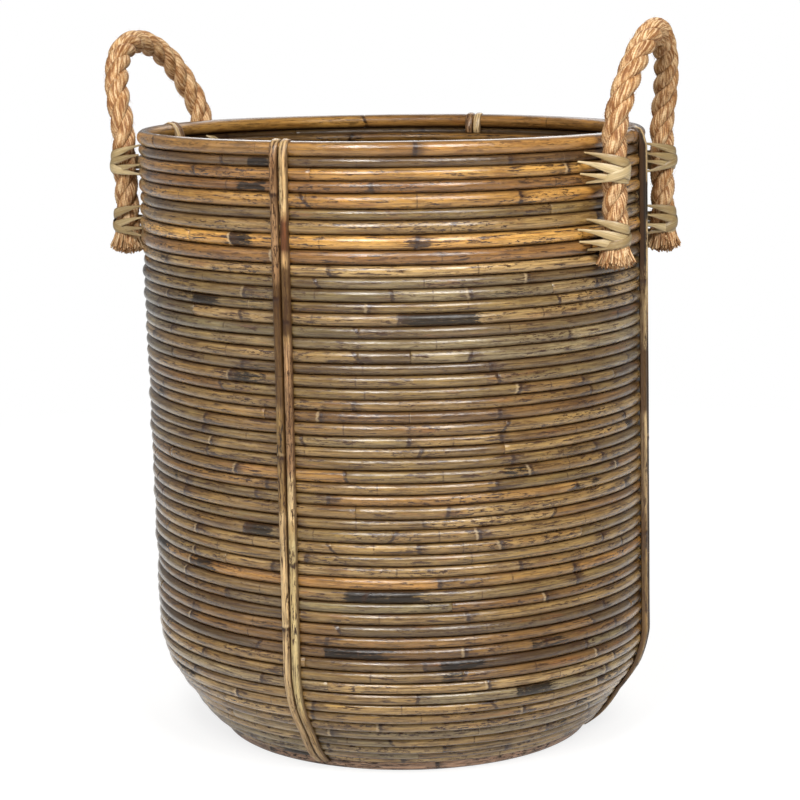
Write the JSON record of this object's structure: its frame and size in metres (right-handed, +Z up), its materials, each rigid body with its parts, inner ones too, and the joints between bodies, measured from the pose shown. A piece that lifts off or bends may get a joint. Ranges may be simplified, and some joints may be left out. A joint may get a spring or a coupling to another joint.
{
  "type": "laundry hamper",
  "caption": "Open round laundry hamper of stacked lacquered canes with split-cane ribs, a rounded foot and rope handles lashed to the wall.",
  "frame": {"origin": "on the floor, under the middle of the round basket", "axes": "+Z up; the rope handles stand on the X axis; rib canes on the X and Y axes"},
  "size_m": [0.4854, 0.4294, 0.5961],
  "materials": {
    "rim_cane": "clear lacquer, semi-gloss",
    "upper_canes": "clear lacquer, semi-gloss",
    "wall_canes": "clear lacquer, semi-gloss, weathered grey-brown",
    "base_canes": "satin",
    "foot_cane": "clear lacquer, semi-gloss",
    "frame_canes": "satin",
    "rib_canes": "clear lacquer, semi-gloss",
    "cane_peel": "satin",
    "rope": "matte natural fibre"
  },
  "bodies": {
    "basket": {"base_rings_inner": "base_canes", "base_rings_middle": "base_canes", "base_rings_outer": "base_canes", "corner_courses_01_to_03": "wall_canes", "corner_courses_04_to_06": "wall_canes", "corner_courses_07_to_09": "wall_canes", "corner_courses_10": "wall_canes", "foot_ring": "foot_cane", "front_rib_a": "rib_canes", "front_rib_b": "rib_canes", "front_stake": "frame_canes", "inner_hoop": "frame_canes", "left_front_lower_lashing": "cane_peel", "left_front_upper_lashing": "cane_peel", "left_handle_flex": "rope", "left_handle_legs": "rope", "left_rear_lower_lashing": "cane_peel", "left_rear_upper_lashing": "cane_peel", "left_rib_a": "rib_canes", "left_rib_b": "rib_canes", "left_stake": "frame_canes", "rear_rib_a": "rib_canes", "rear_rib_b": "rib_canes", "rear_stake": "frame_canes", "right_front_lower_lashing": "cane_peel", "right_front_upper_lashing": "cane_peel", "right_handle_flex": "rope", "right_handle_legs": "rope", "right_rear_lower_lashing": "cane_peel", "right_rear_upper_lashing": "cane_peel", "right_rib_a": "rib_canes", "right_rib_b": "rib_canes", "right_stake": "frame_canes", "rim_cane": "rim_cane", "upper_course_01": "upper_canes", "upper_course_02": "upper_canes", "upper_course_03": "upper_canes", "upper_course_04": "upper_canes", "upper_course_05": "upper_canes", "upper_course_06": "upper_canes", "upper_course_07": "upper_canes", "upper_course_08": "upper_canes", "wall_courses_01_to_03": "wall_canes", "wall_courses_04_to_06": "wall_canes", "wall_courses_07_to_09": "wall_canes", "wall_courses_10_to_12": "wall_canes", "wall_courses_13_to_15": "wall_canes", "wall_courses_16_to_18": "wall_canes", "wall_courses_19_to_21": "wall_canes", "wall_courses_22_to_24": "wall_canes", "wall_courses_25_to_27": "wall_canes", "wall_courses_28_to_30": "wall_canes", "wall_courses_31_to_33": "wall_canes", "wall_courses_34_to_35": "wall_canes"},
    "right_handle": {"right_handle_arch": "rope"},
    "left_handle": {"left_handle_arch": "rope"}
  },
  "joints": [
    {"name": "right_handle_bend", "type": "hinge", "parent": "basket", "child": "right_handle", "pos_m": [0.2118, 0, 0.51315], "axis": [0, 1, 0], "range_deg": [-65, 70], "stiffness_Nm_per_rad": 0.3, "deforming": ["right_handle_flex"]},
    {"name": "left_handle_bend", "type": "hinge", "parent": "basket", "child": "left_handle", "pos_m": [-0.2118, 0, 0.51315], "axis": [0, -1, 0], "range_deg": [-65, 70], "stiffness_Nm_per_rad": 0.3, "deforming": ["left_handle_flex"]}
  ]
}
